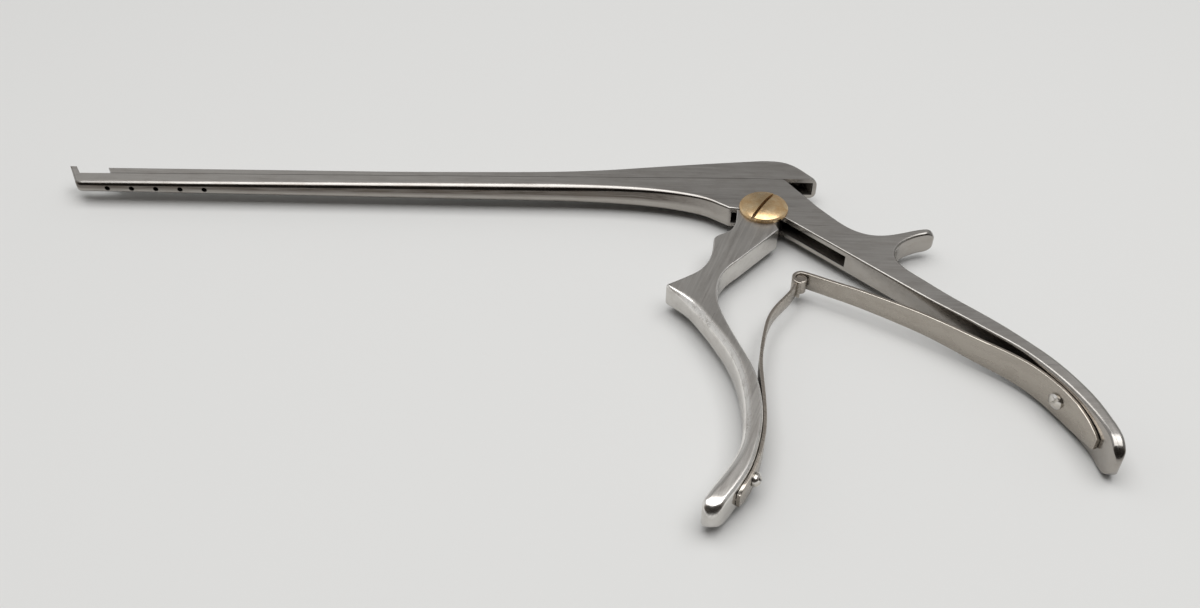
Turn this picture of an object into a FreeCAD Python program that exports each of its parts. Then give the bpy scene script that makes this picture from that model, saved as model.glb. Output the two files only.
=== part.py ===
import FreeCAD
import Part
import math
import os

# Sliding-shaft bone rongeur, 8 inch shaft, 40 degree up-biting footplate. Millimetres.
# It lies on its right flank: Z runs through its thickness, X along the shaft with the jaws at
# minus X, and Y up from the lower shaft to the slide. The origin is on the pivot axis, in the
# plane of the right flank.

V = FreeCAD.Vector

# Body and shafts
body_thickness = 7.0
seam_y = 14.3
tip_width = 3.6
taper_start_x = -15.0
seam_gap = 0.05
shaft_bottom_tip_y = 9.15
shaft_bottom_mid_y = 9.0
shaft_bottom_mid_x = -60.0
body_corner_x = 6.6

# Footplate
foot_base_x = -204.6
foot_lean_deg = 32.0
foot_outer_lean_deg = 28.2
foot_top_y = 17.6
foot_thickness = 2.0
toe_radius = 2.5

# Jaws and travel
jaw_opening = 9.6
slide_travel = 9.5
lever_radius = 18.0

# Pivot
pivot_head_diameter = 14.0
pivot_head_rim = 1.1
pivot_head_dome = 1.1
pivot_edge_bevel = 0.45
pivot_shank_diameter = 6.0
pivot_end_diameter = 5.0
pivot_slot_width = 0.95
pivot_slot_depth = 1.6
pivot_slot_angle_deg = 58.0
cheek_radius = 6.5
running_gap = 0.15
bore_gap = 0.03

# Lever and the slot that it works in
lever_thickness = 3.4
lever_slot_width = 3.8
lever_eye_radius = 6.1
lever_root_half_width = 4.4
lever_nose_radius = 2.2
lever_neck_half_width = 1.5
nose_gap = 0.12
handle_slot_end = (21.2, -19.3)
handle_slot_depth = 4.4
handle_slot_run = 22.0
lever_slot_front_x = -9.2
lever_slot_rear_x = 8.5
stop_gap = 0.3
trigger_corner_near = (4.06, -8.9)

# Slide
slide_front_top_y = 17.6
slide_rear_x = 17.1
slide_pocket_front_x = 0.6
slide_rear_wall = 1.2
slide_cheek = 1.3
slide_pocket_top_y = 16.4
slide_hollow_top_y = 18.6
slide_hollow_bevel = 3.2
nose_socket_top_y = 21.0
cup_radius = 1.15
cup_depth = 7.0
cup_axis_y = 15.4

# Tongue of the slide and its groove in the lower shaft
tongue_start_x = -193.0
tongue_end_x = -98.0
tongue_neck_width = 1.1
tongue_head_width = 2.1
tongue_neck_depth = 0.8
tongue_head_depth = 0.8
tongue_gap = 0.05
groove_end_gap = 0.3

# Cleaning ports in the lower shaft
port_diameter = 1.3
port_first_x = -195.0
port_pitch = 7.3
port_count = 5

# Stud that holds the slide down near the body
stud_x = -32.0
stud_shank_diameter = 2.6
stud_head_diameter = 4.2
stud_neck_height = 1.1
stud_head_height = 1.0
stud_depth = 4.5
stud_gap = 0.06
stud_end_gap = 0.2
stud_keyhole_shift = 12.0

# Handles
palm_width = 12.0
palm_flare_start = 50.0
palm_flare_end = 98.0
finger_width = 9.0
finger_flare_start_y = -38.0
finger_flare_end_y = -66.0

# Leaf springs
leaf_thickness = 0.9
leaf_seat_gap = 0.12
eye_centre = (8.3, -28.8)
eye_outer_radius = 2.6
eye_width = 5.2
barrel_radius = 1.55
barrel_pin_diameter = 1.5
front_leaf_tip_width = 4.4
front_leaf_root_width = 7.0
rear_leaf_root_width = 10.0

# Spring screws and pegs
spring_screw_shank = 2.4
rear_screw_head_diameter = 4.2
rear_screw_head_height = 1.3
front_screw_head_diameter = 3.6
front_screw_head_height = 1.7
head_seat_gap = 0.06
spring_screw_length = 3.0
spring_screw_slot = 0.6
spring_screw_slot_depth = 0.6
peg_diameter = 1.5
peg_depth = 1.6
leaf_hole_gap = 0.1
rear_screw_near = (67.9, -70.0)
rear_peg_near = (71.6, -77.8)
front_screw_near = (-9.9, -96.6)
front_peg_near = (-13.2, -102.6)

# Values that follow from those above
mid_z = body_thickness / 2
half_swing = math.asin(slide_travel / 2 / lever_radius)
closing_angle_deg = math.degrees(2 * half_swing)
nose_x = lever_radius * math.sin(half_swing)
nose_y = lever_radius * math.cos(half_swing)
foot_lean = math.tan(math.radians(foot_lean_deg))
foot_top_x = foot_base_x - (foot_top_y - seam_y) * foot_lean
foot_tip_x = foot_top_x - foot_thickness
far = 2 * abs(foot_base_x)
past = 1.0
same_way = 1e-5


def point(xy, z=0.0):
    return V(xy[0], xy[1], z)


def line(start, end):
    return Part.makeLine(point(start), point(end))


def arc(start, middle, end):
    return Part.Arc(point(start), point(middle), point(end)).toShape()


def curve(points, start=None, end=None):
    """A smooth edge through the points, along the directions given at its ends."""
    flags = [False] * len(points)
    tangents = [V(1, 0, 0)] * len(points)
    for index, direction in ((0, start), (-1, end)):
        if direction:
            flags[index] = True
            tangents[index] = direction
    spline = Part.BSplineCurve()
    if start or end:
        spline.interpolate(Points=[point(p) for p in points], Tangents=tangents, TangentFlags=flags)
    else:
        spline.interpolate([point(p) for p in points])
    return spline.toShape()


def arc_along(start, way, end):
    """An arc from start, where it runs along the way, to end."""
    chord = end - start
    bend = way.getAngle(chord)
    if bend < same_way:
        return Part.makeLine(start, end)
    side = V(-chord.y, chord.x, 0) / 2 * math.tan(bend / 2)
    if side.dot(way) < 0:
        side = side * -1
    return Part.Arc(start, (start + end) / 2 + side, end).toShape()


def arcs(points, start=None, end=None):
    """Arcs that touch each other in line, two from each point to the next, along the smooth
    curve through the points."""
    edge = curve(points, start, end)
    spots = [point(p) for p in points]
    ways = [edge.Curve.tangent(edge.Curve.parameter(spot))[0].normalize() for spot in spots]
    edges = []
    for a, b, way_a, way_b in zip(spots, spots[1:], ways, ways[1:]):
        chord = b - a
        both = way_a + way_b
        spread = 2 * (1 - way_a.dot(way_b))
        if spread < same_way:
            run = chord.dot(chord) / (4 * chord.dot(way_b))
        else:
            run = (math.sqrt(chord.dot(both) ** 2 + spread * chord.dot(chord)) - chord.dot(both)) / spread
        middle = (a + way_a * run + b - way_b * run) / 2
        edges.append(arc_along(a, way_a, middle))
        edges.append(arc_along(b, way_b * -1, middle))
    return edges


def first_way(edge):
    return edge.tangentAt(edge.FirstParameter)


def last_way(edge):
    return edge.tangentAt(edge.LastParameter)


def bridge(before, after, *points):
    """Arcs from the end of one edge to the start of another, in line with both."""
    ends = [before.valueAt(before.LastParameter), after.valueAt(after.FirstParameter)]
    spots = [(ends[0].x, ends[0].y)] + list(points) + [(ends[1].x, ends[1].y)]
    return arcs(spots, last_way(before), first_way(after))


def polar(radius, angle_deg):
    angle = math.radians(angle_deg)
    return (radius * math.cos(angle), radius * math.sin(angle))


def meet(a, along_a, b, along_b):
    """The point where a line through a crosses a line through b."""
    cross = along_a[0] * along_b[1] - along_a[1] * along_b[0]
    reach = ((b[0] - a[0]) * along_b[1] - (b[1] - a[1]) * along_b[0]) / cross
    return (a[0] + along_a[0] * reach, a[1] + along_a[1] * reach)


def corner_arc(before, corner, after, radius):
    """A round corner that touches the two lines which meet there: its edge and both its ends."""
    at = point(corner)
    back = (point(before) - at).normalize()
    on = (point(after) - at).normalize()
    half = back.getAngle(on) / 2
    run = radius / math.tan(half)
    middle = at + (back + on).normalize() * (radius / math.sin(half) - radius)
    start, end = at + back * run, at + on * run
    return Part.Arc(start, middle, end).toShape(), (start.x, start.y), (end.x, end.y)


def plate(outline, bottom, top):
    """A flat piece between two heights, from the edges of its outline."""
    face = Part.Face(Part.Wire(Part.__sortEdges__(outline)))
    face.translate(V(0, 0, bottom))
    return face.extrude(V(0, 0, top - bottom))


def polygon_plate(points, bottom, top):
    return plate([line(a, b) for a, b in zip(points, points[1:] + points[:1])], bottom, top)


def disc(centre, radius, bottom, top):
    return Part.makeCylinder(radius, top - bottom, point(centre, bottom), V(0, 0, 1))


def box(x0, x1, y0, y1, z0, z1):
    return Part.makeBox(x1 - x0, y1 - y0, z1 - z0, V(x0, y0, z0))


def beyond(direction, distance):
    """All that lies further along a direction in the XY plane than the distance."""
    room = Part.makeBox(far, 2 * far, 2 * far, V(distance, -far, -far))
    room.rotate(V(0, 0, 0), V(0, 0, 1), math.degrees(math.atan2(direction[1], direction[0])))
    return room


def width_limit(stations, direction):
    """A solid as wide through its thickness as the stations say, each a distance along the
    direction and a width there. Each three stations on from the last end one smooth span."""
    along = V(direction[0], direction[1], 0).normalize()
    across = V(-along.y, along.x, 0)
    edges = []
    for side in (1, -1):
        spots = [along * s + V(0, 0, mid_z + side * w / 2) for s, w in stations]
        for k in range(0, len(spots) - 1, 3):
            bezier = Part.BezierCurve()
            bezier.setPoles(spots[k:k + 4])
            edges.append(bezier.toShape())
    for s, w in (stations[0], stations[-1]):
        edges.append(Part.makeLine(along * s + V(0, 0, mid_z - w / 2), along * s + V(0, 0, mid_z + w / 2)))
    face = Part.Face(Part.Wire(Part.__sortEdges__(edges)))
    face.translate(across * -far)
    return face.extrude(across * 2 * far)


def level(s0, w0, s1, w1):
    """The three stations that end a straight span of a flank, for width_limit."""
    return [(s0 + (s1 - s0) * k / 3, w0 + (w1 - w0) * k / 3) for k in (1, 2, 3)]


def swell(s0, w0, s1, w1):
    """The three stations that end a span of a flank which swells gently, for width_limit."""
    return [(s0 + (s1 - s0) * 0.4, w0), (s0 + (s1 - s0) * 0.6, w1), (s1, w1)]


def shaft_limit():
    """The thickness of both shafts, which narrows towards the tip."""
    start, end = -taper_start_x, -foot_tip_x
    return width_limit([(start, body_thickness)] + level(start, body_thickness, end, tip_width)
                       + level(end, tip_width, far, tip_width), (-1, 0))


def strip(points, thickness):
    """Outline of a strip of even thickness along a curve through the points."""
    spline = Part.BSplineCurve()
    spline.interpolate([point(p) for p in points])
    sides = []
    for side in (1, -1):
        spots = []
        for p in points:
            at = spline.parameter(point(p))
            tangent = spline.tangent(at)[0]
            spots.append(spline.value(at) + V(-tangent.y, tangent.x, 0) * side * thickness / 2)
        sides.append([(spot.x, spot.y) for spot in spots])
    ends = [line(sides[0][k], sides[1][k]) for k in (0, -1)]
    return arcs(sides[0]) + arcs(sides[1]) + ends


def offset_points(edge, points, distance):
    """Points on an edge moved sideways, to its left."""
    moved = []
    for p in points:
        tangent = edge.Curve.tangent(edge.Curve.parameter(point(p)))[0]
        moved.append((p[0] - tangent.y * distance, p[1] + tangent.x * distance))
    return moved


# Lines that several pieces share
front_line_start = (8.1, -6.2)
front_line_end = (46.7, -43.4)
palm_inner = [front_line_end, (53.6, -50.7), (59.9, -57.6), (63.4, -62.5), (66.9, -68.1),
              (69.6, -73.2), (72.0, -78.8), (73.6, -84.3), (74.2, -89.2)]
trigger_rear = [(-7.5, -21.9), (-11.1, -25.8), (-13.5, -29.6), (-14.8, -34.5), (-14.9, -39.5),
                (-13.5, -46.0), (-11.3, -53.0), (-8.8, -60.2), (-6.9, -66.5), (-6.1, -72.0),
                (-5.9, -77.5), (-6.4, -83.5), (-7.7, -89.9), (-10.1, -97.0), (-13.6, -103.2),
                (-17.0, -108.2)]


def front_line():
    return line(front_line_start, front_line_end)


def front_line_angle():
    way = first_way(front_line())
    return math.degrees(math.atan2(way.y, way.x))


def front_line_offset():
    """Distance of the rear handle's front line from the pivot."""
    way = first_way(front_line())
    return front_line_start[1] * way.x - front_line_start[0] * way.y


def palm_inner_edge():
    """Front of the palm, from the handle's straight front line to its end."""
    return curve(palm_inner, start=first_way(front_line()))


def trigger_rear_edge():
    """Rear of the trigger, from its straight upper face to the heel."""
    corner = stop_corner()[1]
    way = first_way(line(corner, trigger_rear[0]))
    return curve(trigger_rear, start=way)


def cheek_corner():
    """Where the rear handle's front line meets the cheek's round lobe."""
    turn = math.degrees(math.asin(front_line_offset() / cheek_radius))
    return polar(cheek_radius, front_line_angle() + turn)


def frame_outline():
    """Edges of the frame's outline."""
    foot_top = (foot_top_x, foot_top_y)
    foot_tip = (foot_tip_x, foot_top_y)
    outer_lean = math.radians(foot_outer_lean_deg)
    shaft_mid = (shaft_bottom_mid_x, shaft_bottom_mid_y)
    bottom_way = (shaft_bottom_mid_x - foot_base_x, shaft_bottom_mid_y - shaft_bottom_tip_y)
    corner = meet(foot_tip, (math.sin(outer_lean), -math.cos(outer_lean)), shaft_mid, bottom_way)
    toe, toe_start, toe_end = corner_arc(foot_tip, corner, shaft_mid, toe_radius)
    bottom = line(shaft_mid, toe_end)
    chin = (-10.0, 0.1)
    cheek_start = (-math.sqrt(cheek_radius ** 2 - 0.2 ** 2), -0.2)
    rear = line((7.9, 13.3), (15.4, 1.9))
    body_corner = (body_corner_x, seam_y)
    upper = curve([(15.4, 1.9), (18.2, -1.8), (21.6, -6.0), (25.4, -9.3), (30.0, -11.0),
                   (35.0, -10.7), (40.0, -9.2), (44.0, -8.0), (46.4, -7.6)], start=last_way(rear))
    back = curve([(47.0, -10.0), (44.0, -10.7), (41.0, -12.0), (38.1, -14.0), (36.0, -16.6),
                  (35.0, -20.0), (36.6, -24.5), (40.5, -28.8), (46.0, -34.8), (52.0, -41.2),
                  (58.0, -48.0), (63.4, -55.0), (67.6, -60.8), (71.4, -67.2), (74.4, -73.4),
                  (76.4, -79.6), (77.4, -85.6), (77.3, -89.6)])
    spur_tip = bridge(upper, back, (47.8, -8.6))
    inner = palm_inner_edge()
    end_cap = arcs([(77.3, -89.6), (75.8, -91.6), palm_inner[-1]], last_way(back), last_way(inner) * -1)
    return [
        line((foot_base_x, seam_y), body_corner),
        curve([body_corner, (7.3, 14.0), (7.9, 13.3)], end=first_way(rear)),
        rear, upper, *spur_tip, back, *end_cap, inner,
        line(front_line_end, cheek_corner()),
        arc(cheek_corner(), (0, -cheek_radius), cheek_start),
        line(cheek_start, chin),
        curve([chin, (-12.2, 1.5), (-16.0, 3.9), (-20.0, 5.4), (-28.0, 7.2), (-40.0, 8.5), shaft_mid],
              end=first_way(bottom)),
        bottom, toe,
        line(toe_start, foot_tip),
        line(foot_tip, foot_top),
        line(foot_top, (foot_base_x, seam_y)),
    ]


def stop_corner():
    """Upper end of the trigger's stop face, and the corner where its rear face starts."""
    angle = math.radians(front_line_angle() - closing_angle_deg)
    along = (math.cos(angle), math.sin(angle))
    offset = front_line_offset() - stop_gap
    foot = (-along[1] * offset, along[0] * offset)
    rear = (trigger_rear[0][0] - trigger_corner_near[0], trigger_rear[0][1] - trigger_corner_near[1])
    top = (foot[0] + along[0] * 2, foot[1] + along[1] * 2)
    return top, meet(foot, along, trigger_corner_near, rear)


def spot_on(edge, near):
    """Place and direction of the edge, closest to near, in the middle of the thickness."""
    at = edge.Curve.parameter(point(near))
    place = edge.Curve.value(at)
    return V(place.x, place.y, mid_z), edge.Curve.tangent(at)[0].normalize()


def aimed(shape, at, direction):
    """A shape built upright on the origin, moved to a place and turned to a direction."""
    moved = shape.copy()
    moved.Placement = FreeCAD.Placement(at, FreeCAD.Rotation(V(0, 0, 1), direction))
    return moved


def on_palm(near):
    """Foot on the front of the palm, and the direction away from it."""
    foot, tangent = spot_on(palm_inner_edge(), near)
    return foot, V(tangent.y, -tangent.x, 0)


def on_trigger(near):
    """Foot on the rear of the trigger, and the direction away from it."""
    foot, tangent = spot_on(trigger_rear_edge(), near)
    return foot, V(-tangent.y, tangent.x, 0)


def screw_hole(axis, diameter, depth):
    foot, out = axis
    return aimed(Part.makeCylinder(diameter / 2, depth + past, V(0, 0, -depth)), foot, out)


def tee(x0, x1, sign, neck, head, neck_width, head_width, start=0.0):
    """A T-shaped bar along X that stands on the seam, up or down with the sign."""
    root = seam_y - sign * start
    neck_end = seam_y + sign * neck
    head_end = neck_end + sign * head
    stem = box(x0, x1, min(root, neck_end), max(root, neck_end),
               mid_z - neck_width / 2, mid_z + neck_width / 2)
    bar = box(x0, x1, min(neck_end, head_end), max(neck_end, head_end),
              mid_z - head_width / 2, mid_z + head_width / 2)
    return stem.fuse(bar)


def lever_slot():
    """The slot through the body and the top of the rear handle, open below and above."""
    way = first_way(front_line())
    end = point(handle_slot_end)
    inward = V(-way.y, way.x, 0) * handle_slot_depth
    deep_start = end + inward - way * handle_slot_run
    open_end = end - inward
    top = seam_y + past
    outline = [(lever_slot_front_x, -14.0), (lever_slot_front_x, 1.5), (lever_slot_front_x + 1.6, top),
               (lever_slot_rear_x, top), (lever_slot_rear_x - 0.9, 4.0)]
    outline += [(spot.x, spot.y) for spot in (deep_start, end + inward, end, open_end)]
    half = lever_slot_width / 2
    return polygon_plate(outline, mid_z - half, mid_z + half)


def make_frame():
    """Lower shaft with its footplate, the body and the rear handle: one forging."""
    outline = frame_outline()
    shaft_room = beyond((-1, 0), -taper_start_x)
    palm_room = beyond((1, -1), palm_flare_start)
    body = plate(outline, 0, body_thickness).cut([shaft_room, palm_room])
    blank = plate(outline, mid_z - palm_width, mid_z + palm_width)
    flare = [(palm_flare_start, body_thickness)]
    flare += swell(palm_flare_start, body_thickness, palm_flare_end, palm_width)
    flare += level(palm_flare_end, palm_width, far, palm_width)
    palm = blank.common(palm_room).common(width_limit(flare, (1, -1)))
    shaft = blank.common(shaft_room).common(shaft_limit())
    frame = body.fuse([shaft, palm]).removeSplitter()
    cuts = [lever_slot()]
    cuts.append(disc((0, 0), pivot_shank_diameter / 2, mid_z, body_thickness + past))
    cuts.append(disc((0, 0), pivot_end_diameter / 2, -past, mid_z))
    cuts.append(tee(tongue_start_x - slide_travel - groove_end_gap, tongue_end_x + groove_end_gap, -1,
                    tongue_neck_depth - tongue_gap, tongue_head_depth + 2 * tongue_gap,
                    tongue_neck_width + 2 * tongue_gap, tongue_head_width + 2 * tongue_gap, start=past))
    port_depth = seam_y - shaft_bottom_tip_y + past
    for k in range(port_count):
        port = Part.makeCylinder(port_diameter / 2, port_depth)
        cuts.append(aimed(port, V(port_first_x + k * port_pitch, seam_y - port_depth, mid_z), V(0, 1, 0)))
    stud_hole = Part.makeCylinder(stud_shank_diameter / 2, stud_depth + past)
    cuts.append(aimed(stud_hole, V(stud_x, seam_y - stud_depth, mid_z), V(0, 1, 0)))
    cuts.append(screw_hole(on_palm(rear_screw_near), spring_screw_shank, spring_screw_length))
    cuts.append(screw_hole(on_palm(rear_peg_near), peg_diameter, peg_depth))
    return frame.cut(cuts)


def slide_outline():
    """Edges of the slide's outline."""
    bottom = seam_y + seam_gap
    front_x = foot_base_x + jaw_opening
    front_top = (front_x - (slide_front_top_y - seam_y) * foot_lean, slide_front_top_y)
    front_bottom = (front_x - seam_gap * foot_lean, bottom)
    top = line(front_top, (-110.0, 17.0))
    rise = line((-30.0, 19.95), (0.5, 23.45))
    hump = curve([(0.5, 23.45), (4.0, 23.7), (7.5, 23.4), (10.5, 22.1), (13.3, 19.7), (15.6, 17.2)],
                 start=last_way(rise))
    return [
        line(front_bottom, front_top),
        top,
        *bridge(top, rise, (-80.0, 17.0), (-60.0, 17.3), (-44.0, 18.35)),
        rise, hump,
        curve([(15.6, 17.2), (16.8, 15.6), (slide_rear_x, bottom)], start=last_way(hump)),
        line((slide_rear_x, bottom), front_bottom),
    ]


def slide_hollow():
    """The hollow in the slide's tail that clears the lever, open below."""
    rear_x = slide_rear_x - slide_rear_wall
    bottom = seam_y - past
    outline = [(slide_pocket_front_x, bottom), (slide_pocket_front_x, slide_pocket_top_y),
               (nose_x, slide_pocket_top_y), (nose_x, slide_hollow_top_y),
               (rear_x - slide_hollow_bevel, slide_hollow_top_y),
               (rear_x, slide_hollow_top_y - slide_hollow_bevel), (rear_x, bottom)]
    return polygon_plate(outline, slide_cheek, body_thickness - slide_cheek)


def make_slide():
    """Upper shaft with its cutting cup, guide tongue and the deep head above the pivot."""
    outline = slide_outline()
    shaft_room = beyond((-1, 0), -taper_start_x)
    blank = plate(outline, 0, body_thickness)
    front = blank.common(shaft_room).common(shaft_limit())
    slide = front.fuse(blank.cut(shaft_room)).removeSplitter()
    slide = slide.fuse(tee(tongue_start_x, tongue_end_x, -1, tongue_neck_depth, tongue_head_depth,
                           tongue_neck_width, tongue_head_width, start=0.5))
    cuts = [slide_hollow()]
    reach = lever_nose_radius + nose_gap
    slot_half = lever_slot_width / 2
    cuts.append(box(nose_x - reach, nose_x + reach, seam_y, nose_socket_top_y,
                    mid_z - slot_half, mid_z + slot_half))
    run_start = stud_x - stud_keyhole_shift
    run_end = stud_x + slide_travel + stud_end_gap
    low = stud_neck_height - stud_gap
    high = stud_neck_height + stud_head_height + stud_gap
    shank = stud_shank_diameter / 2 + stud_gap
    head = stud_head_diameter / 2 + stud_gap
    cuts.append(tee(run_start, run_end, 1, low, high - low, 2 * shank, 2 * head, start=past))
    for x, radius, bottom in ((run_start, head, -past), (run_end, shank, -past), (run_end, head, low)):
        hole = Part.makeCylinder(radius, high - bottom)
        cuts.append(aimed(hole, V(x, seam_y + bottom, mid_z), V(0, 1, 0)))
    front_x = foot_base_x + jaw_opening
    cup_start = front_x - (slide_front_top_y - seam_y) * foot_lean - past
    cup_run = front_x - cup_start + cup_depth
    cup = Part.makeCylinder(cup_radius, cup_run)
    cuts.append(aimed(cup, V(cup_start, cup_axis_y, mid_z), V(1, 0, 0)))
    cuts.append(box(cup_start, cup_start + cup_run, seam_y - past, cup_axis_y,
                    mid_z - cup_radius, mid_z + cup_radius))
    return slide.cut(cuts)


def trigger_outline():
    """Edges of the trigger's outline."""
    top, corner = stop_corner()
    rear = trigger_rear_edge()
    front = curve([(-21.4, -106.3), (-19.4, -102.4), (-16.4, -97.8), (-13.5, -93.0), (-11.6, -88.0),
                   (-10.7, -82.0), (-10.5, -75.5), (-10.9, -69.5), (-12.0, -63.4), (-14.1, -57.1),
                   (-17.2, -50.6), (-20.9, -43.9), (-24.6, -38.4), (-27.8, -34.8)])
    hook = curve([(-27.4, -32.7), (-23.2, -30.1), (-19.8, -27.6), (-17.3, -24.3), (-15.8, -20.3),
                  (-15.1, -15.6)])
    shoulder = curve([(-12.9, -11.9), (-10.5, -10.4), (-8.8, -7.8), (-8.0, -4.2), (-7.6, -0.6)])
    return [
        line(top, corner),
        line(corner, trigger_rear[0]),
        rear,
        *bridge(rear, front, (-20.3, -109.5)),
        front,
        *bridge(front, hook, (-28.5, -33.6)),
        hook,
        *bridge(hook, shoulder, (-14.6, -13.3)),
        shoulder,
        line((-7.6, -0.6), top),
    ]


def lever():
    """The arm that reaches up from the pivot, and its round nose that drives the slide."""
    half = lever_thickness / 2
    nose = (nose_x, nose_y)
    side = (-nose_y / lever_radius, nose_x / lever_radius)
    arm = []
    for centre, reach in (((0, 0), lever_root_half_width), ((0, 0), -lever_root_half_width),
                          (nose, -lever_neck_half_width), (nose, lever_neck_half_width)):
        arm.append((centre[0] + side[0] * reach, centre[1] + side[1] * reach))
    return [disc((0, 0), lever_eye_radius, mid_z - half, mid_z + half),
            polygon_plate(arm, mid_z - half, mid_z + half),
            disc(nose, lever_nose_radius, mid_z - half, mid_z + half)]


def make_trigger():
    """Front handle with its finger hook, and the lever that reaches up into the slide."""
    outline = trigger_outline()
    grip_room = beyond((0, -1), -finger_flare_start_y)
    start, end = -finger_flare_start_y, -finger_flare_end_y
    flare = [(start, body_thickness)] + swell(start, body_thickness, end, finger_width)
    flare += level(end, finger_width, far, finger_width)
    grip = plate(outline, mid_z - finger_width, mid_z + finger_width)
    grip = grip.common(grip_room).common(width_limit(flare, (0, -1)))
    neck = plate(outline, 0, body_thickness).cut(grip_room)
    handle = neck.fuse(grip).removeSplitter()
    half = lever_thickness / 2
    clear = cheek_radius + running_gap
    handle = handle.cut([disc((0, 0), clear, mid_z + half, mid_z + finger_width),
                         disc((0, 0), clear, mid_z - finger_width, mid_z - half)])
    trigger = handle.fuse(lever()).removeSplitter()
    cuts = [disc((0, 0), pivot_shank_diameter / 2 + bore_gap, -past, body_thickness + past)]
    cuts.append(screw_hole(on_trigger(front_screw_near), spring_screw_shank, spring_screw_length))
    cuts.append(screw_hole(on_trigger(front_peg_near), peg_diameter, peg_depth))
    return trigger.cut(cuts)


def turned(profile):
    """A solid of revolution about Z from points (radius, height). Three in a row, the middle one
    in a list, are an arc."""
    edges = []
    spots = profile + [profile[0]]
    for k, spot in enumerate(spots[:-1]):
        if isinstance(spot, list):
            continue
        start = V(spot[0], 0, spot[1])
        if isinstance(spots[k + 1], list):
            middle, end = spots[k + 1], spots[k + 2]
            edges.append(Part.Arc(start, V(middle[0], 0, middle[1]), V(end[0], 0, end[1])).toShape())
        else:
            end = spots[k + 1]
            edges.append(Part.makeLine(start, V(end[0], 0, end[1])))
    return Part.Face(Part.Wire(edges)).revolve(V(0, 0, 0), V(0, 0, 1), 360)


def dome_middle(radius, low, rise):
    """A point half way up a cap of a sphere, which is as wide as the radius and as high as the
    rise, for turned."""
    sphere = (radius ** 2 + rise ** 2) / (2 * rise)
    half = radius / 2
    return [half, low + rise - sphere + math.sqrt(sphere ** 2 - half ** 2)]


def make_pivot_screw():
    """Large domed screw with a driver slot, on whose shank the trigger turns."""
    radius = pivot_head_diameter / 2
    rim = body_thickness + pivot_head_rim
    cheek_inner = mid_z - lever_slot_width / 2
    edge = pivot_edge_bevel
    profile = [(0, 0), (pivot_end_diameter / 2, 0), (pivot_end_diameter / 2, cheek_inner),
               (pivot_shank_diameter / 2, cheek_inner), (pivot_shank_diameter / 2, body_thickness),
               (radius, body_thickness), (radius, rim - edge), (radius - edge, rim),
               dome_middle(radius - edge, rim, pivot_head_dome), (0, rim + pivot_head_dome)]
    slot = Part.makeBox(2 * radius + 2 * past, pivot_slot_width, pivot_slot_depth + past,
                        V(-radius - past, -pivot_slot_width / 2, rim + pivot_head_dome - pivot_slot_depth))
    slot.rotate(V(0, 0, 0), V(0, 0, 1), pivot_slot_angle_deg)
    return turned(profile).cut(slot)


def make_stud():
    """Mushroom-headed stud that holds the slide down on the body."""
    shank = stud_shank_diameter / 2
    head = stud_head_diameter / 2
    top = stud_neck_height + stud_head_height
    profile = [(0, -stud_depth), (shank, -stud_depth), (shank, stud_neck_height), (head, stud_neck_height),
               (head, top), (0, top)]
    return aimed(turned(profile), V(stud_x, seam_y, mid_z), V(0, 1, 0))


def leaf_hole(axis, diameter):
    foot, out = axis
    return aimed(Part.makeCylinder(diameter / 2 + leaf_hole_gap, 4, V(0, 0, -past)), foot, out)


def make_rear_spring():
    """Leaf spring on the rear handle, with its free end curled to an open eye."""
    seat = offset_points(palm_inner_edge(), palm_inner[4:-1], -(leaf_thickness / 2 + leaf_seat_gap))
    line_of_leaf = [(10.5, -27.9), (16.0, -30.2), (22.0, -33.2), (30.0, -37.8), (38.0, -42.8),
                    (45.0, -48.0), (51.0, -52.9), (56.5, -57.2), (61.6, -61.9)] + seat
    low, high = mid_z - palm_width, mid_z + palm_width
    blank = plate(strip(line_of_leaf, leaf_thickness), low, high)
    eye = disc(eye_centre, eye_outer_radius, low, high)
    hollow = disc(eye_centre, eye_outer_radius - leaf_thickness, low, high)
    blank = blank.fuse(eye).cut(hollow)
    mouth = [eye_centre, (eye_centre[0] - 9, eye_centre[1] - 5), (eye_centre[0] - 5, eye_centre[1] - 9),
             (eye_centre[0] + 1.2, eye_centre[1] - 9)]
    blank = blank.cut(polygon_plate(mouth, low, high))
    eye_run = (eye_centre[0] - eye_centre[1]) / math.sqrt(2)
    start, end = eye_run - 8, eye_run + 8
    root_start, root, root_end = 92, 102, 116
    widths = [(start, eye_width)] + level(start, eye_width, end, eye_width + 0.4)
    widths += swell(end, eye_width + 0.4, root_start, rear_leaf_root_width - 2)
    widths += swell(root_start, rear_leaf_root_width - 2, root, rear_leaf_root_width - 1)
    widths += swell(root, rear_leaf_root_width - 1, root_end, rear_leaf_root_width - 2.5)
    leaf = blank.common(width_limit(widths, (1, -1)))
    return leaf.cut([leaf_hole(on_palm(rear_screw_near), spring_screw_shank),
                     leaf_hole(on_palm(rear_peg_near), peg_diameter)])


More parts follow.
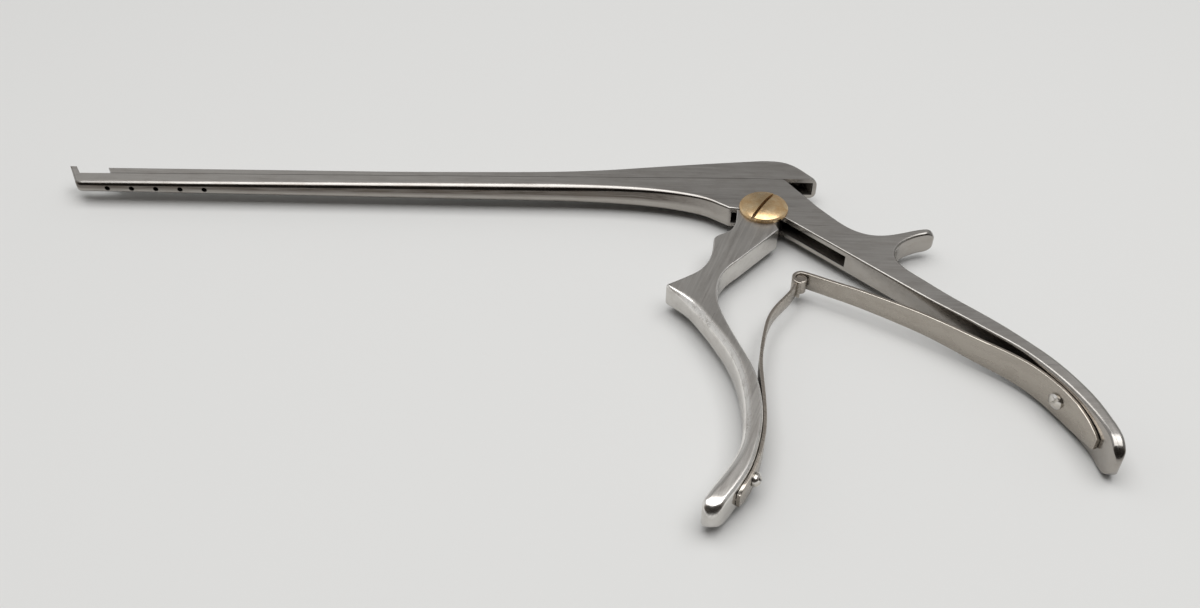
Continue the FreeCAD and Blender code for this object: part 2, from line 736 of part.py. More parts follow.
def make_front_spring():
    """Leaf spring on the trigger, whose free end is rolled to a barrel that sits in the eye."""
    seat = offset_points(trigger_rear_edge(), trigger_rear[10:-1], leaf_thickness / 2 + leaf_seat_gap)
    line_of_leaf = [(7.5, -29.9), (4.6, -34.6), (0.8, -39.7), (-1.5, -43.9), (-3.0, -49.0),
                    (-4.2, -55.0), (-5.0, -61.0), (-5.2, -66.5), (-5.2, -72.0)] + seat
    low, high = mid_z - finger_width, mid_z + finger_width
    blank = plate(strip(line_of_leaf, leaf_thickness), low, high)
    blank = blank.fuse(disc(eye_centre, barrel_radius, low, high))
    tip, neck, root, end = 20, 45, 92, 112
    widths = [(tip, front_leaf_tip_width)] + level(tip, front_leaf_tip_width, neck, front_leaf_tip_width)
    widths += swell(neck, front_leaf_tip_width, root, front_leaf_root_width)
    widths += level(root, front_leaf_root_width, end, front_leaf_root_width - 1)
    leaf = blank.common(width_limit(widths, (0, -1)))
    pin = disc(eye_centre, barrel_pin_diameter / 2, low, high)
    return leaf.cut([pin, leaf_hole(on_trigger(front_screw_near), spring_screw_shank),
                     leaf_hole(on_trigger(front_peg_near), peg_diameter)])


def make_barrel_pin():
    """Core pin of the barrel."""
    half = front_leaf_tip_width / 2
    return disc(eye_centre, barrel_pin_diameter / 2, mid_z - half, mid_z + half)


def spring_screw(axis, head_diameter, head_height):
    """Small slotted screw that holds a leaf's root on its handle."""
    foot, out = axis
    shank, head = spring_screw_shank / 2, head_diameter / 2
    seat = leaf_thickness + leaf_seat_gap + head_seat_gap
    rim = seat + head_height * 0.4
    rise = head_height * 0.6
    profile = [(0, -spring_screw_length), (shank, -spring_screw_length), (shank, seat), (head, seat),
               (head, rim), dome_middle(head, rim, rise), (0, rim + rise)]
    slot = Part.makeBox(2 * head + 2 * past, spring_screw_slot, spring_screw_slot_depth + past,
                        V(-head - past, -spring_screw_slot / 2, rim + rise - spring_screw_slot_depth))
    return aimed(turned(profile).cut(slot), foot, out)


def peg(axis):
    """Small peg that keeps a leaf from turning on its screw."""
    foot, out = axis
    tall = leaf_thickness + leaf_seat_gap
    return aimed(Part.makeCylinder(peg_diameter / 2, peg_depth + tall, V(0, 0, -peg_depth)), foot, out)


pieces = {
    "frame": make_frame,
    "slide": make_slide,
    "trigger": make_trigger,
    "pivot_screw": make_pivot_screw,
    "slide_stud": make_stud,
    "rear_spring": make_rear_spring,
    "front_spring": make_front_spring,
    "spring_barrel_pin": make_barrel_pin,
    "rear_spring_screw": lambda: spring_screw(on_palm(rear_screw_near), rear_screw_head_diameter,
                                              rear_screw_head_height),
    "front_spring_screw": lambda: spring_screw(on_trigger(front_screw_near), front_screw_head_diameter,
                                               front_screw_head_height),
    "rear_spring_peg": lambda: peg(on_palm(rear_peg_near)),
    "front_spring_peg": lambda: peg(on_trigger(front_peg_near)),
}

os.makedirs("parts", exist_ok=True)
for name, make in pieces.items():
    shape = make()
    print(name, shape.isValid(), len(shape.Solids), round(shape.Volume, 1), len(shape.Faces))
    shape.exportStep(f"parts/{name}.step")
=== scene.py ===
import bmesh
import bpy
import math
import numpy as np
from mathutils import Matrix, Vector


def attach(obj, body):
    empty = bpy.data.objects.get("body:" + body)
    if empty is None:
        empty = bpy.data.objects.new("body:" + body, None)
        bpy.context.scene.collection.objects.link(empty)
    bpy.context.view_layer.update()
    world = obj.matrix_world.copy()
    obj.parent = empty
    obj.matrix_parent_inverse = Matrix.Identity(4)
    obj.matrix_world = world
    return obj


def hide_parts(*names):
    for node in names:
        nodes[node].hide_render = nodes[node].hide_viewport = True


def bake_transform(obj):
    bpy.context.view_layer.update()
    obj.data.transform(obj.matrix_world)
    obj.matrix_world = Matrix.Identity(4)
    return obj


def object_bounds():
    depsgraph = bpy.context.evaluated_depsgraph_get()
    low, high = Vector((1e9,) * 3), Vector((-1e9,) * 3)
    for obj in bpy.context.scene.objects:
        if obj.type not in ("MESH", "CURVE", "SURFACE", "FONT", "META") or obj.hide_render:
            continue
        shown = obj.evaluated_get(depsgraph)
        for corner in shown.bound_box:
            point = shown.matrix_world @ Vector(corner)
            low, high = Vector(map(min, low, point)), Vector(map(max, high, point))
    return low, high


# A steel bone rongeur on a pale table: forged handles with rounded rims, satin flanks, two sprung
# leaves hooked into each other and a gold coated pivot screw. Lengths below are in millimetres.

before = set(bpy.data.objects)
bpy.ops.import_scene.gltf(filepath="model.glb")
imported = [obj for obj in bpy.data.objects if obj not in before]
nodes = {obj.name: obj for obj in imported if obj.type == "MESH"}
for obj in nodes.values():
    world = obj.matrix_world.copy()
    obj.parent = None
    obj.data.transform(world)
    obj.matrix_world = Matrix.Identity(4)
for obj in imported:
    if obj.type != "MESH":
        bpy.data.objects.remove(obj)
cad_low, cad_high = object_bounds()

MM = 0.001

# Camera, as the photograph was taken: a long look down on the table
camera_place = Vector((-40.02, -274.78, 221.17)) * MM
camera_tilt_deg = 47.4
camera_turn_deg = 1.5
camera_lens = 36.0
camera_sensor = 36.0

# Table and lights
table_size = 6.0
table_gap = 0.05 * MM
table_colour = (0.745, 0.745, 0.735)
room_light = 0.42
near_wall = 0.10
far_wall = [(0.0, 1.5), (0.3, 1.0), (0.45, 0.8), (0.54, 0.52), (0.60, 0.62), (0.66, 0.85),
            (1.0, 0.9)]
far_colour = (1, 1, 0.99, 1)
near_colour = (1.0, 0.86, 0.74, 1)
top_lamp_power = 13.0
top_lamp_size = (1.5, 1.1)
top_lamp_place = (0.05, -0.05, 1.15)

# Body, seam between the two shafts, and the shafts' taper towards the jaw
body_thickness = 7.0
mid_z = body_thickness / 2
seam_y = 14.3
seam_gap = 0.05
tip_width = 3.6
taper_start_x = -15.0
foot_tip_x = -208.66
foot_top = (-206.66, 17.6)

# Rear handle, with the stretch over which it widens to the palm, and its rounded ends
palm_width = 12.0
palm_flare = (50.0, 98.0)
palm_end_y = -85.9
palm_end_radius = 5.8
spur_end_x = 44.9
spur_end_radius = 3.0
handle_way = (math.sqrt(0.5), -math.sqrt(0.5))

# Trigger, with the stretch over which it widens to the finger hook, and its lever
finger_width = 9.0
finger_flare = (38.0, 66.0)
heel_end_y = -105.6
heel_end_radius = 4.3
stop_corner = (3.52, -9.48)
cheek_radius = 6.65
lever_half = 1.7
lever_eye_radius = 6.1
lever_root = 4.4
lever_neck = 1.5
nose_place = (4.75, 17.36)
nose_radius = 2.2

# Bores at the pivot, the lever's slot and the row of rinsing ports under the groove
frame_bore_radius = 2.52
trigger_bore_radius = 3.03
slot_half = 1.9
slot_end = (21.2, -19.3)
slot_reach = 4.4
slot_length = 22
port_radius = 0.8
port_foot_y = 8.0
port_length = 7.5
port_pitch = 7.3
first_port_x = -195.0
port_count = 5

# T sections as neck height, head height, neck width and head width, and their runs along X
groove = (0.75, 0.9, 1.2, 2.2)
groove_run = (-202.9, -97.7)
tongue = (0.8, 0.8, 1.1, 2.1)
tongue_run = (-193.0, -98.0)
stud_slot = (1.04, 1.12, 2.72, 4.32)
stud_slot_run = (-46.2, -20.1)

# Slide: its hollow head, the socket for the lever's nose and the cutting cup
hollow_wall = 1.3
hollow_floor = 13.3
socket_half = 2.32
slide_end_x = 17.1
slide_front_x = -199.0
cup_radius = 1.15
cup_y = 15.4
cup_run = (-198.5, -188.0)

# Levels below and above every piece, for cuts that go right through
cut_low = -5.0
cut_high = 12.0

# Leaf springs
leaf_thickness = 0.9
leaf_seat_gap = 0.12
leaf_step = 0.45
leaf_edge = 0.16
eye_centre = (8.3, -28.8)
eye_radius = 2.15
barrel_radius = 1.1

# Fineness of curves, rims and rounded ends, and the least fold that stays sharp. Inside each rim
# runs a narrow border. An end is rounded as far to both sides as its reach, and keeps at least the
# share left of its thickness.
curve_step = 0.9
rim_steps = 6
rim_border = 0.1
flare_step = 3.0
end_steps = (0.0, 0.2, 0.38, 0.54, 0.68, 0.8, 0.9, 0.97)
end_reach = 9.0
end_left = 0.12
rod_sides = 32
sharp_angle_deg = 32.0

# Stains, painted shade in hollows that also stands for dirt, and the painted dark reflection band
# along the lower shaft's side
dark_band_levels = (2.6, 3.9)
dark_band_end = (-30.0, -8.0)
painted_dark_band_colour = (0.10, 0.085, 0.073, 1)
stain_colour = (0.17, 0.125, 0.09, 1)
shade_and_dirt_colour = (0.03, 0.022, 0.017, 1)


def node_tree(material):
    """The material's tree, empty but for its output."""
    material.use_nodes = True
    tree = material.node_tree
    tree.nodes.clear()
    return tree, tree.nodes.new("ShaderNodeOutputMaterial")


def fill(tree, socket, value):
    """Links a socket to another, or gives it its value."""
    if isinstance(value, bpy.types.NodeSocket):
        tree.links.new(value, socket)
    else:
        socket.default_value = value


def add(tree, kind, inputs=None, **settings):
    """A node with its settings and the values of its inputs, where a socket given is linked."""
    node = tree.nodes.new(kind)
    for name, value in settings.items():
        setattr(node, name, value)
    for key, value in (inputs or {}).items():
        fill(tree, node.inputs[key], value)
    return node


def object_place(tree, turn_deg=0.0, stretch=(1.0, 1.0, 1.0)):
    """Object coordinates in millimetres, turned about Z and then stretched."""
    place = add(tree, "ShaderNodeTexCoord").outputs["Object"]
    rotation = (0, 0, math.radians(-turn_deg))
    turned_place = add(tree, "ShaderNodeMapping", {"Vector": place, "Scale": (1 / MM,) * 3,
                                                   "Rotation": rotation}).outputs[0]
    return add(tree, "ShaderNodeMapping", {"Vector": turned_place, "Scale": stretch}).outputs[0]


def noise(tree, place, scale, detail, roughness):
    """Cloudy noise there, as a value about a half."""
    return add(tree, "ShaderNodeTexNoise", {"Vector": place, "Scale": scale, "Detail": detail,
                                            "Roughness": roughness}).outputs["Fac"]


def span(tree, value, low, high, out_low=0.0, out_high=1.0):
    """Maps a value from one range to another and keeps it there."""
    return add(tree, "ShaderNodeMapRange", {"Value": value, "From Min": low, "From Max": high,
                                            "To Min": out_low, "To Max": out_high}).outputs[0]


def blended(tree, share, first, second):
    """A colour between two, by a share from 0 to 1."""
    node = tree.nodes.new("ShaderNodeMix")
    node.data_type = "RGBA"
    for index, value in ((0, share), (6, first), (7, second)):
        fill(tree, node.inputs[index], value)
    return node.outputs[2]


def plus(tree, a, b, kind="ADD"):
    """Two values added, or put together as the kind says."""
    node = add(tree, "ShaderNodeMath", operation=kind)
    fill(tree, node.inputs[0], a)
    fill(tree, node.inputs[1], b)
    return node.outputs[0]


def times(tree, a, b):
    """Two values multiplied."""
    return plus(tree, a, b, "MULTIPLY")


def set_knots(node, spots, straight_lines=False):
    """Gives a float curve its knots, of which it has the first and last from the start."""
    curve = node.mapping.curves[0]
    curve.points[0].location, curve.points[1].location = spots[0], spots[-1]
    for spot in spots[1:-1]:
        curve.points.new(*spot)
    if straight_lines:
        for knot in curve.points:
            knot.handle_type = "VECTOR"
    node.mapping.update()


def placed(name, data):
    """A new object in the scene."""
    item = bpy.data.objects.new(name, data)
    bpy.context.scene.collection.objects.link(item)
    return item


def shaped_mesh(item):
    """The mesh that an object's modifiers make."""
    graph = bpy.context.evaluated_depsgraph_get()
    return bpy.data.meshes.new_from_object(item.evaluated_get(graph))


def along(points, start=None, end=None, step=curve_step):
    """Points in even steps on the smooth curve through the given ones."""
    spots = np.array(points, float)
    runs = np.linalg.norm(np.diff(spots, axis=0), axis=1)
    count = len(spots)
    matrix = np.zeros((count, count))
    right = np.zeros((count, 2))
    for k in range(1, count - 1):
        matrix[k, k - 1] = runs[k]
        matrix[k, k] = 2 * (runs[k] + runs[k - 1])
        matrix[k, k + 1] = runs[k - 1]
        right[k] = 3 * (runs[k] * (spots[k] - spots[k - 1]) / runs[k - 1]
                        + runs[k - 1] * (spots[k + 1] - spots[k]) / runs[k])
    for k, other, way in ((0, 1, start), (-1, -2, end)):
        if way is None:
            matrix[k, k], matrix[k, other] = 2, 1
            right[k] = 3 * (spots[max(k, other)] - spots[min(k, other)]) / runs[k]
        else:
            matrix[k, k] = 1
            right[k] = np.array(way, float) / np.linalg.norm(way)
    slopes = np.linalg.solve(matrix, right)
    reach = np.concatenate([[0], np.cumsum(runs)])
    result = []
    for s in np.linspace(0, reach[-1], max(2, int(math.ceil(reach[-1] / step)) + 1)):
        k = min(np.searchsorted(reach, s, side="right") - 1, count - 2)
        h = runs[k]
        u = (s - reach[k]) / h
        spot = ((1 + 2 * u) * (1 - u) ** 2 * spots[k] + u * (1 - u) ** 2 * h * slopes[k]
                + u * u * (3 - 2 * u) * spots[k + 1] + u * u * (u - 1) * h * slopes[k + 1])
        result.append((float(spot[0]), float(spot[1])))
    return result


def straight(a, b, step=6.0):
    """Points in even steps on a line."""
    count = max(1, int(math.ceil(math.dist(a, b) / step)))
    return [(a[0] + (b[0] - a[0]) * k / count, a[1] + (b[1] - a[1]) * k / count)
            for k in range(count + 1)]


def arc(centre, radius, start_deg, end_deg, step_deg=10.0):
    """Points in even steps on an arc."""
    count = max(2, int(abs(end_deg - start_deg) / step_deg))
    turns = [math.radians(start_deg + (end_deg - start_deg) * k / count) for k in range(count + 1)]
    return [(centre[0] + radius * math.cos(turn), centre[1] + radius * math.sin(turn))
            for turn in turns]


def circle(centre, radius, step_deg=8.0):
    """Points all round, without the first one again."""
    return arc(centre, radius, 0.0, 360.0 - step_deg, step_deg)


def heading(points, back=False):
    """Direction in which a row of points starts, or ends."""
    a, b = (points[-2], points[-1]) if back else (points[0], points[1])
    return (b[0] - a[0], b[1] - a[1])


def joined(*rows):
    """Rows of (x, y) with a radius at each end, as one closed outline of (x, y, radius)."""
    outline = []
    for points, first, last in rows:
        reach = [0.0]
        for a, b in zip(points, points[1:]):
            reach.append(reach[-1] + math.dist(a, b))
        for spot, s in zip(points, reach):
            radius = first + (last - first) * s / reach[-1]
            if outline and math.dist(spot, outline[-1][:2]) < 0.02:
                outline[-1] = (*outline[-1][:2], min(radius, outline[-1][2]))
            else:
                outline.append((*spot, radius))
    if math.dist(outline[0][:2], outline[-1][:2]) < 0.02:
        radius = min(outline[0][2], outline.pop()[2])
        outline[0] = (*outline[0][:2], radius)
    return outline


def ramp(value, low, high):
    """0 up to the low value, 1 from the high one on, and a gentle rise between them."""
    share = min(1.0, max(0.0, (value - low) / (high - low)))
    return share * share * (3 - 2 * share)


def shaft_width(x):
    """Thickness of both shafts there."""
    share = min(1.0, max(0.0, (taper_start_x - x) / (taper_start_x - foot_tip_x)))
    return body_thickness + (tip_width - body_thickness) * share


def frame_width(x, y):
    """Thickness of the frame there: tapered along the shaft, flared towards the palm."""
    if x < 0:
        return shaft_width(x)
    run = (x - y) / math.sqrt(2)
    return body_thickness + (palm_width - body_thickness) * ramp(run, *palm_flare)


def trigger_width(x, y):
    """Thickness of the trigger there, flared towards the finger hook."""
    return body_thickness + (finger_width - body_thickness) * ramp(-y, *finger_flare)


def new_piece(name, bm):
    """A piece from a finished bmesh, at the origin."""
    mesh = bpy.data.meshes.new(name)
    bmesh.ops.recalc_face_normals(bm, faces=bm.faces)
    bm.to_mesh(mesh)
    bm.free()
    return placed(name, mesh)


def split(bm, places, way):
    """Cuts every face where it crosses the upright planes through the places."""
    for x, y in places:
        shape = bm.verts[:] + bm.edges[:] + bm.faces[:]
        bmesh.ops.bisect_plane(bm, geom=shape, plane_co=Vector((x, y, 0)) * MM,
                               plane_no=Vector((*way, 0)))


def round_end(bm, place, way, radius, half):
    """Rounds an end across its width, with a corner radius that starts at the place."""
    x, y = place
    places = [(x + way[0] * radius * share, y + way[1] * radius * share) for share in end_steps]
    split(bm, places, way)
    spot = Vector((x, y, 0)) * MM
    for vert in bm.verts:
        off = vert.co - spot
        depth = min(off.dot(Vector((*way, 0))) / MM, radius)
        aside = abs(off.x * way[1] - off.y * way[0]) / MM
        if depth > 0 and aside < end_reach:
            share = (half - radius + math.sqrt(radius ** 2 - depth ** 2)) / half
            vert.co.z = mid_z * MM + (vert.co.z - mid_z * MM) * max(share, end_left)


def rounded_plate(name, outline, width, flare_places=(), flare_way=(1, 0), ends=()):
    """A forged blank: an outline of (x, y, rim radius) between two flanks as far apart as the
    width says there, with its rims rounded, and the ends given too."""
    count = len(outline)
    spots = [Vector(p[:2]) for p in outline]
    area = sum(a.x * b.y - b.x * a.y for a, b in zip(spots, spots[1:] + spots[:1]))
    if area < 0:
        outline = outline[::-1]
        spots = spots[::-1]
    inward = []
    for k in range(count):
        before = (spots[k] - spots[k - 1]).normalized()
        after = (spots[(k + 1) % count] - spots[k]).normalized()
        bisector = Vector((-before.y - after.y, before.x + after.x)).normalized()
        lean = max(0.5, bisector.dot(Vector((-before.y, before.x))))
        inward.append(bisector / lean)
    half = body_thickness / 2
    turns = [math.pi / 2 * step / rim_steps for step in range(rim_steps + 1)]
    steps = [(1 - math.cos(turn), 1 - math.sin(turn), 0) for turn in turns] + [(1, 0, rim_border)]
    bm = bmesh.new()
    rings = []
    for side in (-1, 1):
        for inset, drop, border in steps[::side]:
            ring = []
            for (x, y, radius), spot, way in zip(outline, spots, inward):
                place = spot + way * (radius * inset + border)
                level = mid_z + side * (half - radius * drop)
                ring.append(bm.verts.new(Vector((place.x, place.y, level)) * MM))
            rings.append(ring)
    for low, high in zip(rings, rings[1:]):
        for k in range(count):
            nxt = (k + 1) % count
            bm.faces.new((low[k], low[nxt], high[nxt], high[k]))
    flanks = [bm.faces.new(rings[0][::-1]), bm.faces.new(rings[-1])]
    bm.normal_update()
    bmesh.ops.triangulate(bm, faces=flanks, quad_method="BEAUTY", ngon_method="EAR_CLIP")
    split(bm, flare_places, flare_way)
    for vert in bm.verts:
        x, y, z = vert.co / MM
        side = 1 if z > mid_z else -1
        vert.co.z += side * (width(x, y) / 2 - half) * MM
    for end in ends:
        round_end(bm, *end)
    bmesh.ops.remove_doubles(bm, verts=bm.verts, dist=1e-7)
    bmesh.ops.triangulate(bm, faces=[face for face in bm.faces if len(face.verts) > 4])
    return new_piece(name, bm)


def prism(name, points, low, high):
    """An upright block over an outline, used to cut or to add."""
    bm = bmesh.new()
    floor = [bm.verts.new(Vector((x, y, low)) * MM) for x, y in points]
    roof = [bm.verts.new(Vector((x, y, high)) * MM) for x, y in points]
    bm.faces.new(floor[::-1])
    bm.faces.new(roof)
    for k in range(len(points)):
        nxt = (k + 1) % len(points)
        bm.faces.new((floor[k], floor[nxt], roof[nxt], roof[k]))
    return new_piece(name, bm)


def turned(name, profile, foot, direction, around):
    """A turned shape from (radius, height) points, whose first and last point stand on the axis."""
    bm = bmesh.new()
    rings = []
    for radius, height in profile:
        if radius == 0:
            rings.append([bm.verts.new((0, 0, height * MM))])
            continue
        ring = []
        for k in range(around):
            turn = 2 * math.pi * k / around
            place = Vector((radius * math.cos(turn), radius * math.sin(turn), height))
            ring.append(bm.verts.new(place * MM))
        rings.append(ring)
    for low, high in zip(rings, rings[1:]):
        for k in range(around):
            nxt = (k + 1) % around
            corners = [low[k % len(low)], low[nxt % len(low)],
                       high[nxt % len(high)], high[k % len(high)]]
            bm.faces.new(list(dict.fromkeys(corners)))
    turn = Vector(direction).to_track_quat("Z", "Y").to_matrix().to_4x4()
    bm.transform(Matrix.Translation(Vector(foot) * MM) @ turn)
    return new_piece(name, bm)


def rod(name, foot, direction, radius, length):
    """A round bar from its foot."""
    profile = [(0, 0), (radius, 0), (radius, length), (0, length)]
    return turned(name, profile, foot, direction, rod_sides)


def carved(piece, cuts, adds=()):
    """The piece with blocks added and others cut away. They leave the scene."""
    for kind, tools in (("UNION", adds), ("DIFFERENCE", cuts)):
        for tool in tools:
            step = piece.modifiers.new(tool.name, "BOOLEAN")
            step.operation = kind
            step.solver = "EXACT"
            step.object = tool
    shaped = shaped_mesh(piece)
    piece.modifiers.clear()
    piece.data = shaped
    for tool in (*cuts, *adds):
        bpy.data.objects.remove(tool)
    return piece


def finished(piece, slot, material, *stands_for):
    """Gives a piece its finish and hides the CAD nodes that it stands for."""
    mesh = piece.data
    mesh.materials.clear()
    mesh.materials.append(material)
    mesh.shade_smooth()
    mesh.set_sharp_from_angle(angle=math.radians(sharp_angle_deg))
    mesh.name = piece.name
    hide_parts(*stands_for)
    return piece


def box(name, x0, x1, y0, y1, z0, z1):
    """A square block between two limits each way."""
    return prism(name, [(x0, y0), (x1, y0), (x1, y1), (x0, y1)], z0, z1)


def tee(name, run, sign, measures, start):
    """A T-shaped bar along X on the seam, up or down with the sign, with its foot as far on the
    other side of the seam as the start says."""
    neck, head, neck_width, head_width = measures
    a, b = neck_width / 2, head_width / 2
    section = [(-start, -a), (-start, a), (neck, a), (neck, b), (neck + head, b),
               (neck + head, -b), (neck, -b), (neck, -a)]
    bm = bmesh.new()
    ends = []
    for x in run:
        ends.append([bm.verts.new(Vector((x, seam_y + sign * up, mid_z + across)) * MM)
                     for up, across in section])
    bm.faces.new(ends[0])
    bm.faces.new(ends[1][::-1])
    for k in range(len(section)):
        nxt = (k + 1) % len(section)
        bm.faces.new((ends[0][k], ends[1][k], ends[1][nxt], ends[0][nxt]))
    return new_piece(name, bm)


def bore(radius):
    """A hole through the body at the pivot."""
    return rod("bore", (0, 0, -1), (0, 0, 1), radius, 9)


# Lines that several shapes share
front_line = ((8.1, -6.2), (46.7, -43.4))
palm_inner = [front_line[1], (53.6, -50.7), (59.9, -57.6), (63.4, -62.5), (66.9, -68.1),
              (69.6, -73.2), (72.0, -78.8), (73.6, -84.3), (74.2, -89.2)]
trigger_rear = [(-7.5, -21.9), (-11.1, -25.8), (-13.5, -29.6), (-14.8, -34.5), (-14.9, -39.5),
                (-13.5, -46.0), (-11.3, -53.0), (-8.8, -60.2), (-6.9, -66.5), (-6.1, -72.0),
                (-5.9, -77.5), (-6.4, -83.5), (-7.7, -89.9), (-10.1, -97.0), (-13.6, -103.2),
                (-17.0, -108.2)]


def make_frame():
    """Lower shaft with its footplate, the body and the rear handle with its spur: one forging."""
    rear = straight((7.9, 13.3), (15.4, 1.9), 2.0)
    corner = along([(6.6, seam_y), (7.3, 14.0), (7.9, 13.3)], (1, -0.15), heading(rear), 0.3)
    upper = along([(15.4, 1.9), (18.2, -1.8), (21.6, -6.0), (25.4, -9.3), (30.0, -11.0),
                   (35.0, -10.7), (40.0, -9.2), (44.0, -8.0), (46.4, -7.6)], heading(rear, True))
    back = along([(47.0, -10.0), (44.0, -10.7), (41.0, -12.0), (38.1, -14.0), (36.0, -16.6),
                  (35.0, -20.0), (36.6, -24.5), (40.5, -28.8), (46.0, -34.8), (52.0, -41.2),
                  (58.0, -48.0), (63.4, -55.0), (67.6, -60.8), (71.4, -67.2), (74.4, -73.4),
                  (76.4, -79.6), (77.4, -85.6), (77.3, -89.6)])
    spur_tip = along([upper[-1], (47.8, -8.6), back[0]], heading(upper, True), heading(back), 0.3)
    inner = along(palm_inner, heading(front_line))[::-1]
    palm_end = along([back[-1], (75.8, -91.6), inner[0]], heading(back, True), heading(inner), 0.4)
    under = along([(-10.0, 0.1), (-12.2, 1.5), (-16.0, 3.9), (-20.0, 5.4), (-28.0, 7.2),
                   (-40.0, 8.5), (-60.0, 9.0)], None, (-1, 0.001))
    outline = joined(
        (straight((-204.6, seam_y), (6.6, seam_y)), 0.12, 0.12),
        (corner, 0.12, 0.3),
        (rear, 0.3, 0.35),
        (upper[:-9], 0.35, 0.7),
        (upper[-10:], 0.7, 0.85),
        (spur_tip, 0.85, 0.85),
        (back[:12], 0.85, 0.8),
        (back[11:-10], 0.8, 1.7),
        (back[-11:], 1.7, 0.9),
        (palm_end, 0.9, 0.9),
        (inner, 0.9, 0.6),
        (straight(front_line[1], (9.0, -7.07)), 0.6, 0.45),
        (straight((9.0, -7.07), (5.41, -3.61), 1.0), 0.45, 0.12),
        (arc((0, 0), 6.5, -33.7, -178.2), 0.12, 0.12),
        (straight((-6.5, -0.2), (-10.0, 0.1), 1.0), 0.12, 0.6),
        (under, 0.7, 2.1),
        (straight((-60.0, 9.0), (-202.64, 9.15)), 2.1, 1.4),
        (arc((-202.64, 11.65), 2.5, 270.0, 208.2), 1.3, 0.9),
        (straight((-204.84, 10.47), (foot_tip_x, foot_top[1]), 1.0), 0.9, 0.7),
        (straight((foot_tip_x, foot_top[1]), foot_top, 0.5), 0.15, 0.12),
        (straight(foot_top, (-204.6, seam_y), 1.0), 0.12, 0.12))
    ends = [((76.0, palm_end_y), (0, -1), palm_end_radius, palm_width / 2),
            ((spur_end_x, -9.0), (1, 0), spur_end_radius, body_thickness / 2)]
    flare = [(0.0, 0.0)] + [(run / math.sqrt(2), -run / math.sqrt(2))
                            for run in np.arange(*palm_flare, flare_step)]
    piece = rounded_plate("frame_body", outline, frame_width, flare, handle_way, ends)

    # The slot runs from the seam past the pivot, and out along the rear handle's front face
    way = Vector(heading(front_line)).normalized()
    inward = Vector((-way.y, way.x)) * slot_reach
    end = Vector(slot_end)
    slot = [(-9.2, -14.0), (-9.2, 1.5), (-7.6, 15.3), (8.5, 15.3), (7.6, 4.0),
            tuple(end + inward - way * slot_length), tuple(end + inward), tuple(end - inward)]
    cuts = [prism("slot", slot, mid_z - slot_half, mid_z + slot_half), bore(frame_bore_radius),
            tee("groove", groove_run, -1, groove, 1.0)]
    for k in range(port_count):
        foot = (first_port_x + port_pitch * k, port_foot_y, mid_z)
        cuts.append(rod("port", foot, (0, 1, 0), port_radius, port_length))
    return carved(piece, cuts)


def make_slide():
    """Upper shaft with its cutting cup, guide tongue and the deep head above the pivot."""
    top = straight((-197.06, 17.6), (-110.0, 17.0))
    rise = straight((-30.0, 19.95), (0.5, 23.44), 3.0)
    bend = along([top[-1], (-80.0, 17.0), (-60.0, 17.3), (-44.0, 18.35), rise[0]],
                 heading(top, True), heading(rise), 1.5)
    hump = along([rise[-1], (4.0, 23.69), (7.5, 23.38), (10.5, 22.1), (13.3, 19.7), (15.6, 17.2)],
                 heading(rise, True), None, 0.5)
    tail = along([hump[-1], (16.8, 15.6), (slide_end_x, 14.3), (slide_end_x, 12.3)],
                 heading(hump, True), (0, -1), 0.5)
    outline = joined(
        (straight((slide_front_x, 12.3), (slide_front_x, top[0][1]), 1.0), 0.1, 0.12),
        (straight((slide_front_x, top[0][1]), top[0], 0.5), 1.1, 1.1),
        (top, 1.1, 1.3),
        (bend, 1.3, 0.35),
        (rise, 0.35, 0.35),
        (hump, 0.35, 1.9),
        (tail, 1.9, 2.2),
        (straight((slide_end_x, 12.3), (slide_front_x, 12.3)), 0.1, 0.1))
    piece = rounded_plate("slide_body", outline, lambda x, y: shaft_width(x),
                          [(taper_start_x, 0.0)])

    # The blank ends at the seam, and slants back over the cup
    bottom = seam_y + seam_gap
    ahead = [(-205.0, 12.0), (-193.56, 12.0), (-198.31, 19.6), (-205.0, 19.6)]
    piece = carved(piece, [box("below", -230, 30, 5, bottom, cut_low, cut_high),
                           prism("ahead", ahead, cut_low, cut_high)])
    nose_x = nose_place[0]
    hollow = [(0.6, hollow_floor), (0.6, 16.4), (nose_x, 16.4), (nose_x, 18.6), (12.7, 18.6),
              (15.9, 15.4), (15.9, hollow_floor)]
    cuts = [prism("hollow", hollow, hollow_wall, body_thickness - hollow_wall),
            box("socket", nose_x - socket_half, nose_x + socket_half, hollow_floor, 21.0,
                mid_z - slot_half, mid_z + slot_half),
            tee("stud_slot", stud_slot_run, 1, stud_slot, 1.0),
            rod("cup", (cup_run[0], cup_y, mid_z), (1, 0, 0), cup_radius, cup_run[1] - cup_run[0]),
            box("cup_mouth", *cup_run, hollow_floor, cup_y, mid_z - cup_radius, mid_z + cup_radius)]
    return carved(piece, cuts, [tee("tongue", tongue_run, -1, tongue, 0.5)])


